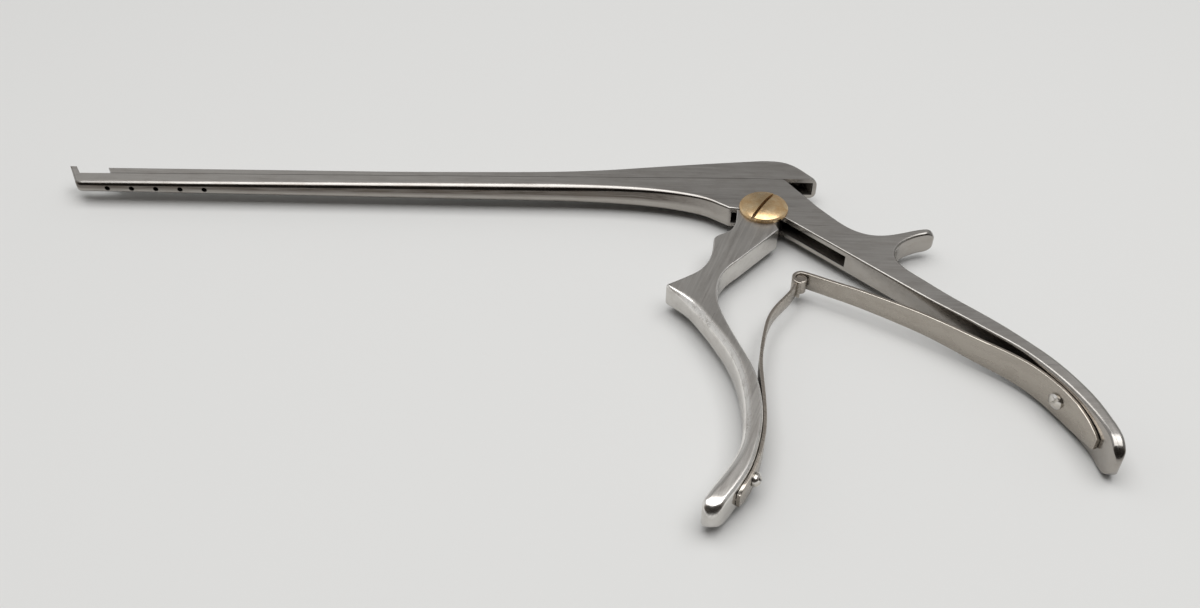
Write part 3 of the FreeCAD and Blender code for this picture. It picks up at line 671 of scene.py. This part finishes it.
def make_trigger():
    """Front handle with its finger hook, and the lever that reaches up into the slide."""
    top = (1.36, -1.70)
    rear = along(trigger_rear, heading((stop_corner, trigger_rear[0])))
    front = along([(-21.4, -106.3), (-19.4, -102.4), (-16.4, -97.8), (-13.5, -93.0),
                   (-11.6, -88.0), (-10.7, -82.0), (-10.5, -75.5), (-10.9, -69.5), (-12.0, -63.4),
                   (-14.1, -57.1), (-17.2, -50.6), (-20.9, -43.9), (-24.6, -38.4), (-27.8, -34.8)])
    hook = along([(-27.4, -32.7), (-23.2, -30.1), (-19.8, -27.6), (-17.3, -24.3),
                  (-15.8, -20.3), (-15.1, -15.6)])
    shoulder = along([(-12.9, -11.9), (-10.5, -10.4), (-8.8, -7.8), (-8.0, -4.2), (-7.6, -0.6)])
    heel = along([rear[-1], (-20.3, -109.5), front[0]], heading(rear, True), heading(front), 0.4)
    hook_tip = along([front[-1], (-28.5, -33.6), hook[0]], heading(front, True), heading(hook), 0.3)
    notch = along([hook[-1], (-14.6, -13.3), shoulder[0]], heading(hook, True), heading(shoulder),
                  0.5)
    outline = joined(
        (straight(top, stop_corner, 2.0), 0.1, 0.15),
        (straight(stop_corner, trigger_rear[0], 2.0), 0.4, 0.4),
        (rear, 0.4, 1.3),
        (heel, 1.3, 1.3),
        (front[:8], 1.3, 2.2),
        (front[7:-9], 2.2, 2.2),
        (front[-10:], 2.2, 0.75),
        (hook_tip, 0.75, 0.75),
        (hook, 0.75, 0.4),
        (notch, 0.4, 0.4),
        (shoulder, 0.4, 0.2),
        (straight(shoulder[-1], top, 2.0), 0.1, 0.1))
    ends = [((-19.5, heel_end_y), (0, -1), heel_end_radius, finger_width / 2)]
    flare = [(0.0, -down) for down in np.arange(*finger_flare, flare_step)]
    piece = rounded_plate("trigger_body", outline, trigger_width, flare, (0, -1), ends)

    # Both cheeks are cleared round the eye, where the lever alone runs between the frame's
    clear = circle((0, 0), cheek_radius)
    lever = (mid_z - lever_half, mid_z + lever_half)
    carved(piece, [prism("near_cheek", clear, lever[1], cut_high),
                   prism("far_cheek", clear, cut_low, lever[0])])
    nose = Vector(nose_place)
    side = Vector((-nose.y, nose.x)).normalized()
    arm = [tuple(side * lever_root), tuple(side * -lever_root), tuple(nose - side * lever_neck),
           tuple(nose + side * lever_neck)]
    adds = [prism("eye", circle((0, 0), lever_eye_radius), *lever),
            prism("arm", arm, *lever),
            prism("nose", circle(nose, nose_radius, 15.0), *lever)]
    return carved(piece, [bore(trigger_bore_radius)], adds)


def beside(points, distance):
    """The points moved sideways, to the left of their row."""
    moved = []
    for k, spot in enumerate(points):
        before = Vector(points[max(k - 1, 0)])
        after = Vector(points[min(k + 1, len(points) - 1)])
        way = (after - before).normalized()
        moved.append((spot[0] - way.y * distance, spot[1] + way.x * distance))
    return moved


def leaf_tree():
    """A leaf: a thin strip along a curve, as wide as a row of widths says, with softened edges."""
    tree = bpy.data.node_groups.new("leaf_spring", "GeometryNodeTree")
    tree.interface.new_socket("Path", in_out="INPUT", socket_type="NodeSocketGeometry")
    for label in ("Thickness", "Step", "Edge", "Middle", "Widest", "Start", "End"):
        tree.interface.new_socket(label, in_out="INPUT", socket_type="NodeSocketFloat")
    tree.interface.new_socket("Direction", in_out="INPUT", socket_type="NodeSocketVector")
    tree.interface.new_socket("Finish", in_out="INPUT", socket_type="NodeSocketMaterial")
    tree.interface.new_socket("Leaf", in_out="OUTPUT", socket_type="NodeSocketGeometry")
    given = tree.nodes.new("NodeGroupInput").outputs
    result = tree.nodes.new("NodeGroupOutput")
    even = add(tree, "GeometryNodeResampleCurve",
               {"Curve": given["Path"], "Length": given["Step"]}, mode="LENGTH")
    upright = add(tree, "GeometryNodeSetCurveNormal", {"Curve": even.outputs[0]}, mode="Z_UP")
    section = add(tree, "GeometryNodeCurvePrimitiveQuadrilateral",
                  {"Width": given["Thickness"], "Height": given["Widest"]})
    soft = add(tree, "GeometryNodeFilletCurve",
               {"Curve": section.outputs[0], "Radius": given["Edge"], "Count": 3}, mode="POLY")
    strip = add(tree, "GeometryNodeCurveToMesh",
                {"Curve": upright.outputs[0], "Profile Curve": soft.outputs[0], "Fill Caps": True})
    place = add(tree, "GeometryNodeInputPosition").outputs[0]
    run = add(tree, "ShaderNodeVectorMath", {0: place, 1: given["Direction"]},
              operation="DOT_PRODUCT").outputs["Value"]
    share = span(tree, run, given["Start"], given["End"])
    width = add(tree, "ShaderNodeFloatCurve", {"Value": share})
    parts = add(tree, "ShaderNodeSeparateXYZ", {0: place}).outputs
    off = plus(tree, parts["Z"], given["Middle"], "SUBTRACT")
    height = plus(tree, times(tree, off, width.outputs[0]), given["Middle"])
    again = add(tree, "ShaderNodeCombineXYZ", {"X": parts["X"], "Y": parts["Y"], "Z": height})
    shaped = add(tree, "GeometryNodeSetPosition",
                 {"Geometry": strip.outputs[0], "Position": again.outputs[0]})
    real = add(tree, "GeometryNodeRealizeInstances", {"Geometry": shaped.outputs[0]})
    coated = add(tree, "GeometryNodeSetMaterial",
                 {"Geometry": real.outputs[0], "Material": given["Finish"]})
    tree.links.new(coated.outputs[0], result.inputs["Leaf"])
    return tree, width


def make_leaf(name, path, direction, stations, material):
    """One leaf along a path, with widths at distances along the direction."""
    tree, width = leaf_tree()
    widest = max(w for s, w in stations)
    start, end = stations[0][0], stations[-1][0]
    set_knots(width, [((s - start) / (end - start), w / widest) for s, w in stations], True)
    line = bpy.data.curves.new(name, "CURVE")
    line.dimensions = "3D"
    spline = line.splines.new("POLY")
    spline.points.add(len(path) - 1)
    for knot, (x, y) in zip(spline.points, path):
        knot.co = (x * MM, y * MM, mid_z * MM, 1)
    holder = placed(name + "_path", line)
    maker = holder.modifiers.new("leaf", "NODES")
    maker.node_group = tree
    values = {"Thickness": leaf_thickness * MM, "Step": leaf_step * MM, "Edge": leaf_edge * MM,
              "Middle": mid_z * MM, "Widest": widest * MM, "Start": start * MM, "End": end * MM,
              "Direction": (direction[0], direction[1], 0.0), "Finish": material}
    for item in tree.interface.items_tree:
        if item.in_out == "INPUT" and item.name in values:
            maker[item.identifier] = values[item.name]
    mesh = shaped_mesh(holder)
    bpy.data.objects.remove(holder)
    bpy.data.curves.remove(line)
    return placed(name, mesh)


def rear_leaf_path():
    """The open eye, the free length and the seat on the rear handle."""
    seat = beside(palm_inner, -(leaf_thickness / 2 + leaf_seat_gap))[4:-1]
    curl = arc(eye_centre, eye_radius, 262.0, 62.0, 9.0)
    line = along([curl[-1], (16.0, -30.2), (22.0, -33.2), (30.0, -37.8), (38.0, -42.8),
                  (45.0, -48.0), (51.0, -52.9), (56.5, -57.2), (61.6, -61.9)] + seat,
                 heading(curl, True), None, 0.8)
    return curl[:-1] + line


def front_leaf_path():
    """The barrel in that eye, the free length and the seat on the trigger."""
    seat = beside(trigger_rear, leaf_thickness / 2 + leaf_seat_gap)[10:-1]
    roll = arc(eye_centre, barrel_radius, -165.0, 168.0, 9.0)
    line = along([roll[-1], (6.4, -31.2), (4.3, -35.0), (0.8, -39.7), (-1.5, -43.9), (-3.0, -49.0),
                  (-4.2, -55.0), (-5.0, -61.0), (-5.2, -66.5), (-5.2, -72.0)] + seat,
                 heading(roll, True), None, 0.8)
    return roll[:-1] + line


def crevice(tree, reach, low, high):
    """A mask for painted shade: 1 in corners and hollows narrower than the reach, 0 on open faces.
    """
    shade = add(tree, "ShaderNodeAmbientOcclusion", {"Distance": reach * MM}, samples=6)
    return span(tree, shade.outputs["AO"], low, high, 1.0, 0.0)


def metal(tree, out, material, colour, roughness, height, depth):
    """Ends a metal's tree, with its fine relief as deep as said."""
    bump = add(tree, "ShaderNodeBump", {"Height": height, "Strength": 0.12, "Distance": depth * MM})
    shader = add(tree, "ShaderNodeBsdfPrincipled",
                 {"Base Color": colour, "Metallic": 1.0, "Roughness": roughness,
                  "Normal": bump.outputs[0]})
    tree.links.new(shader.outputs[0], out.inputs[0])
    return material


def steel(name, light, dark, rim, painted_side_shade, roughness, grain_turn_deg, with_painted_dark_band=False):
    """Forged stainless steel: satin across the flanks with a lengthwise grind and lightly stained
    all round.
    Painted light and shade by facing: the rims take their own colour and the steep sides a darker
    one, with a painted dark reflection band along the lower shaft's side where asked. Painted
    shade, dark brown, lies in hollows and corners, where it also stands for dirt. The roughness is
    that of the flanks and that of the edges."""
    flank_rough, edge_rough = roughness
    material = bpy.data.materials.new(name)
    tree, out = node_tree(material)
    normal = add(tree, "ShaderNodeNewGeometry").outputs["Normal"]
    upright = add(tree, "ShaderNodeSeparateXYZ", {0: normal})
    facing = add(tree, "ShaderNodeMath", {0: upright.outputs["Z"]}, operation="ABSOLUTE").outputs[0]
    flank = span(tree, facing, 0.90, 0.99)
    lines = noise(tree, object_place(tree, grain_turn_deg, (0.05, 2.2, 2.2)), 1.0, 6.0, 0.7)
    patches = noise(tree, object_place(tree, grain_turn_deg, (0.35, 1.0, 1.0)), 0.4, 5.0, 0.65)
    specks = noise(tree, object_place(tree), 3.0, 4.0, 0.7)
    shade = times(tree, span(tree, lines, 0.3, 0.7), 0.65)
    shade = plus(tree, shade, times(tree, span(tree, specks, 0.3, 0.7), 0.35))
    colour = blended(tree, shade, dark, light)
    # Painted light and shade by facing: steep sides take the darker side colour, rims their own
    # colour
    side = blended(tree, span(tree, facing, 0.12, 0.5), painted_side_shade, rim)
    if with_painted_dark_band:
        # Painted dark reflection: a dark band along the upper part of the lower shaft's side, on
        # faces turned towards the near side of the room
        under = span(tree, upright.outputs["Y"], -0.5, -0.3, 1.0, 0.0)
        place = add(tree, "ShaderNodeSeparateXYZ", {0: object_place(tree)}).outputs
        dark_band = times(tree, span(tree, place["Z"], *dark_band_levels),
                     span(tree, facing, 0.74, 0.86, 1.0, 0.0))
        dark_band = times(tree, dark_band, span(tree, place["X"], *dark_band_end, 1.0, 0.0))
        dark_band = times(tree, times(tree, dark_band, under), span(tree, lines, 0.3, 0.62, 0.6, 1.0))
        side = blended(tree, dark_band, side, painted_dark_band_colour)
    colour = blended(tree, flank, side, colour)
    stain = times(tree, span(tree, patches, 0.46, 0.64), span(tree, specks, 0.38, 0.6))
    band = times(tree, span(tree, facing, 0.12, 0.4), span(tree, facing, 0.72, 0.92, 1.0, 0.15))
    stain = times(tree, stain, plus(tree, times(tree, band, 0.35), 0.2))
    colour = blended(tree, stain, colour, stain_colour)
    # Painted shade, dark brown, in hollows and corners, where it also stands for dirt
    shade_and_dirt = times(tree, crevice(tree, 7.0, 0.15, 0.46), 0.96)
    colour = blended(tree, shade_and_dirt, colour, shade_and_dirt_colour)
    rough = add(tree, "ShaderNodeMix", data_type="FLOAT")
    edge_range = (edge_rough - 0.05, edge_rough + 0.07)
    flank_range = (flank_rough - 0.03, flank_rough + 0.05)
    fill(tree, rough.inputs[0], flank)
    fill(tree, rough.inputs[2], span(tree, patches, 0.3, 0.7, *edge_range))
    fill(tree, rough.inputs[3], span(tree, lines, 0.3, 0.7, *flank_range))
    rough = plus(tree, rough.outputs[0], times(tree, shade_and_dirt, 0.4))
    height = plus(tree, lines, times(tree, specks, 0.5))
    return metal(tree, out, material, colour, rough, height, 0.012)


def gold(name):
    """Gold coloured coating, polished, with a warm tarnish, and painted shade at the rim and in the
    slot.
    """
    material = bpy.data.materials.new(name)
    tree, out = node_tree(material)
    patches = noise(tree, object_place(tree), 0.35, 4.0, 0.6)
    specks = noise(tree, object_place(tree), 2.2, 4.0, 0.7)
    colour = blended(tree, span(tree, patches, 0.35, 0.68), (0.78, 0.51, 0.25, 1),
                     (0.93, 0.72, 0.45, 1))
    colour = blended(tree, span(tree, specks, 0.5, 0.72, 0.0, 0.35), colour, (0.46, 0.26, 0.09, 1))
    # Painted shade at the rim and in the slot
    shade_and_dirt = crevice(tree, 1.2, 0.25, 0.8)
    colour = blended(tree, shade_and_dirt, colour, (0.05, 0.022, 0.008, 1))
    rough = plus(tree, span(tree, specks, 0.3, 0.7, 0.17, 0.3), times(tree, shade_and_dirt, 0.4))
    return metal(tree, out, material, colour, rough, specks, 0.02)


def dress(name, material):
    """Gives a carried-over node its finish."""
    mesh = nodes[name].data
    for index in range(len(mesh.materials)):
        mesh.materials[index] = material
    if not mesh.materials:
        mesh.materials.append(material)


def make_finishes():
    """The five finishes by name."""
    light = (0.62, 0.595, 0.565, 1)
    dark = (0.46, 0.435, 0.41, 1)
    # Rim and side colours paint light and shade by facing: the frame's rims darker to dim their
    # highlight, the other parts' rims lighter as painted highlight, and the steep sides of every
    # part darker as painted shade
    rim = (0.35, 0.335, 0.315, 1)
    rim_highlight = (0.9, 0.88, 0.85, 1)
    spring_rim_highlight = (0.62, 0.58, 0.52, 1)
    painted_side_shade = (0.42, 0.395, 0.365, 1)
    return {
        "frame": steel("frame_steel", light, dark, rim, painted_side_shade, (0.30, 0.2), -2.0, True),
        "trigger": steel("trigger_steel", (0.69, 0.66, 0.625, 1), (0.52, 0.495, 0.465, 1), rim_highlight,
                         (0.62, 0.60, 0.57, 1), (0.30, 0.2), 70.0),
        "spring": steel("spring_steel", (0.50, 0.45, 0.40, 1), (0.40, 0.35, 0.30, 1), spring_rim_highlight,
                        (0.42, 0.385, 0.34, 1), (0.28, 0.26), -42.0),
        "screw": steel("screw_steel", (0.66, 0.63, 0.58, 1), (0.52, 0.49, 0.44, 1), rim_highlight,
                       (0.60, 0.57, 0.52, 1), (0.2, 0.2), 20.0),
        "gold": gold("gold_coating"),
    }


def make_table():
    """The pale table top that the rongeur lies on."""
    half = table_size / 2
    low = cad_low.z - table_gap
    mesh = bpy.data.meshes.new("table")
    corners = [(x, y, low) for x, y in ((-half, -half), (half, -half), (half, half), (-half, half))]
    mesh.from_pydata(corners, [], [(0, 1, 2, 3)])
    table = placed("table", mesh)
    material = bpy.data.materials.new("table_top")
    tree, out = node_tree(material)
    shader = add(tree, "ShaderNodeBsdfPrincipled",
                 {"Base Color": (*table_colour, 1), "Roughness": 0.85, "Specular IOR Level": 0.2})
    tree.links.new(shader.outputs[0], out.inputs[0])
    mesh.materials.append(material)


def make_lights():
    """A pale room, darker on the near side, and a lamp over the table."""
    world = bpy.data.worlds.new("room")
    bpy.context.scene.world = world
    world.use_nodes = True
    tree = world.node_tree
    background = tree.nodes["Background"]
    view = add(tree, "ShaderNodeTexCoord").outputs["Generated"]
    way = add(tree, "ShaderNodeSeparateXYZ", {0: view})
    near_side = span(tree, way.outputs["Y"], -0.55, -0.12, near_wall, 1.0)
    wall = tree.nodes.new("ShaderNodeFloatCurve")
    fill(tree, wall.inputs["Value"], span(tree, way.outputs["X"], -1.0, 1.0))
    set_knots(wall, far_wall)
    strength = times(tree, near_side, wall.outputs[0])
    fill(tree, background.inputs["Color"], blended(tree, near_side, near_colour, far_colour))
    fill(tree, background.inputs["Strength"], times(tree, strength, room_light))
    lamp = bpy.data.lights.new("top_lamp", "AREA")
    lamp.shape = "RECTANGLE"
    lamp.size, lamp.size_y = top_lamp_size
    lamp.energy = top_lamp_power
    placed("top_lamp", lamp).location = top_lamp_place


def make_camera():
    """The photograph's camera."""
    data = bpy.data.cameras.new("camera")
    data.lens = camera_lens
    data.sensor_width = camera_sensor
    data.sensor_fit = "HORIZONTAL"
    data.clip_start = 0.01
    data.clip_end = 20.0
    camera = placed("camera", data)
    camera.location = camera_place
    camera.rotation_euler = (math.radians(camera_tilt_deg), 0, math.radians(camera_turn_deg))
    bpy.context.scene.camera = camera


make_camera()
make_table()
make_lights()
finishes = make_finishes()

frame_body = make_frame()
slide_body = make_slide()
trigger_body = make_trigger()
finished(frame_body, "satin_steel", finishes["frame"], "frame")
finished(slide_body, "satin_steel", finishes["frame"], "slide")
finished(trigger_body, "satin_steel", finishes["trigger"], "trigger")
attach(frame_body, "frame")
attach(slide_body, "slide")
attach(trigger_body, "trigger")

# Widths of the leaves at distances along their direction
rear_widths = [(17.0, 5.2), (34.0, 5.6), (60.0, 6.8), (88.0, 8.8), (98.0, 9.2), (103.0, 8.6),
               (107.0, 7.0), (110.0, 4.9), (111.3, 3.4), (112.0, 2.0)]
front_widths = [(20.0, 4.4), (45.0, 4.4), (70.0, 5.8), (92.0, 7.0), (101.5, 6.4), (102.6, 5.4),
                (103.4, 4.0)]
rear_leaf = make_leaf("rear_leaf_spring", rear_leaf_path(), handle_way, rear_widths,
                      finishes["spring"])
front_leaf = make_leaf("front_leaf_spring", front_leaf_path(), (0.0, -1.0), front_widths,
                       finishes["spring"])
finished(rear_leaf, "spring_steel", finishes["spring"], "rear_spring")
finished(front_leaf, "spring_steel", finishes["spring"], "front_spring")
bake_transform(rear_leaf)
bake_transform(front_leaf)

dress("slide_stud", finishes["frame"])
dress("spring_barrel_pin", finishes["spring"])
dress("rear_spring_screw", finishes["screw"])
dress("front_spring_screw", finishes["screw"])
dress("rear_spring_peg", finishes["spring"])
dress("front_spring_peg", finishes["spring"])
dress("pivot_screw", finishes["gold"])

bpy.context.scene.view_settings.view_transform = "Standard"
